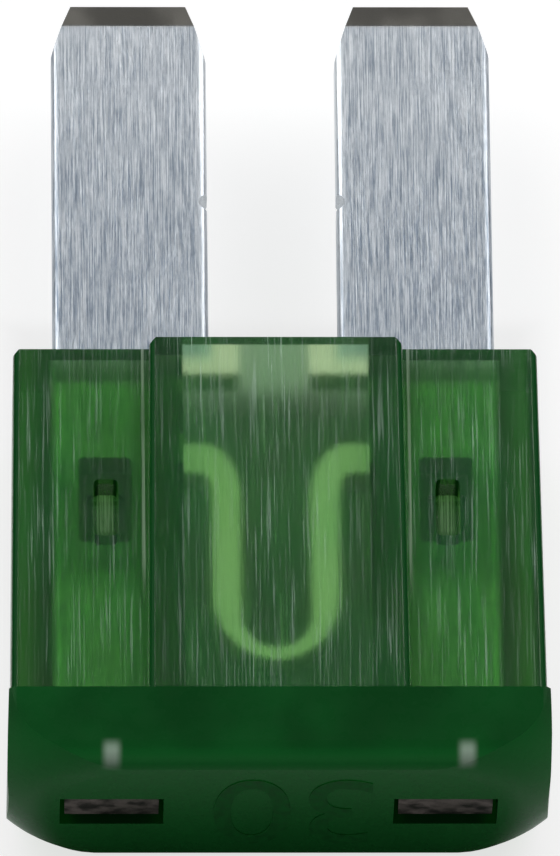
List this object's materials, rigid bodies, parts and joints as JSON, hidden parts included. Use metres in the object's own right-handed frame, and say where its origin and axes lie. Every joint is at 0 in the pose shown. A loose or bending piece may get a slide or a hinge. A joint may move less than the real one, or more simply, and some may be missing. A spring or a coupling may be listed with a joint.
{
  "type": "automotive blade fuse",
  "caption": "Small automotive plug-in blade fuse: translucent green moulded housing with a raised centre panel around a stamped metal strip with flat blades and a looped melting link.",
  "frame": {"origin": "middle of the bounding box's underside, under the fuse as it lies on its broad back face", "axes": "+X across the two blades, +Y along the fuse from its head to the blade tips, +Z through its thickness to the broad front face"},
  "size_m": [0.0092, 0.0154, 0.0038],
  "materials": {
    "green_plastic": "translucent moulded plastic, glossy on the head and finely scratched on the body",
    "plated_metal": "satin plated strip with fine marks along the blades"
  },
  "bodies": {
    "root": {"housing": "green_plastic", "fuse_element": "plated_metal"}
  },
  "joints": []
}
